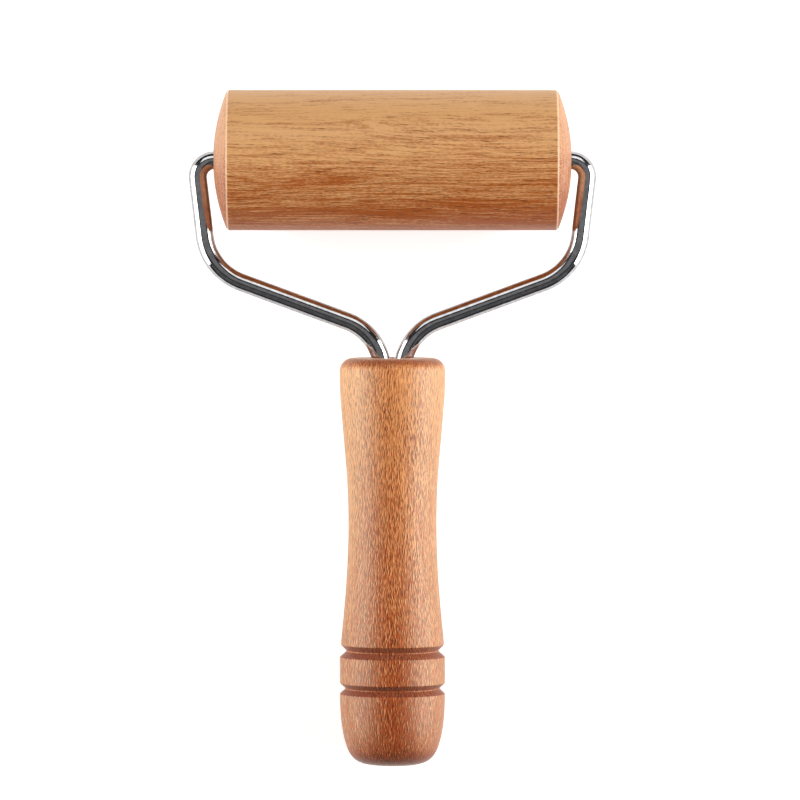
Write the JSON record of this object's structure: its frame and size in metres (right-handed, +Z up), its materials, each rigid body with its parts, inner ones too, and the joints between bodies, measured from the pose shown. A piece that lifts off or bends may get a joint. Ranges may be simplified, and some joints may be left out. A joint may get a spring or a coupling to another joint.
{
  "type": "hand roller",
  "caption": "One-handed beech hand roller: a solid wooden roller spins on two bent steel arms set in a turned, waisted handle with two V grooves.",
  "frame": {"origin": "on the table, under the middle of the whole tool, as it lies on its roller and the butt of its handle", "axes": "+X along the roller, +Y from the handle towards the roller, +Z up from the table"},
  "size_m": [0.108, 0.1792, 0.0372],
  "materials": {
    "handle": "fine-sanded beech, oiled, satin",
    "socket_resin": "cured clear amber resin",
    "left_arm": "polished steel",
    "right_arm": "polished steel",
    "roller": "fine-sanded beech, oiled, satin",
    "left_bush": "natural nylon",
    "right_bush": "natural nylon"
  },
  "bodies": {
    "yoke_and_handle": {"handle": "handle", "socket_resin": "socket_resin", "left_arm": "left_arm", "right_arm": "right_arm"},
    "roller": {"roller": "roller", "left_bush": "left_bush", "right_bush": "right_bush"}
  },
  "joints": [
    {"name": "roller_spin", "type": "hinge", "parent": "yoke_and_handle", "child": "roller", "pos_m": [0, 0.07102, 0.0186], "axis": [1, 0, 0], "continuous": true}
  ]
}
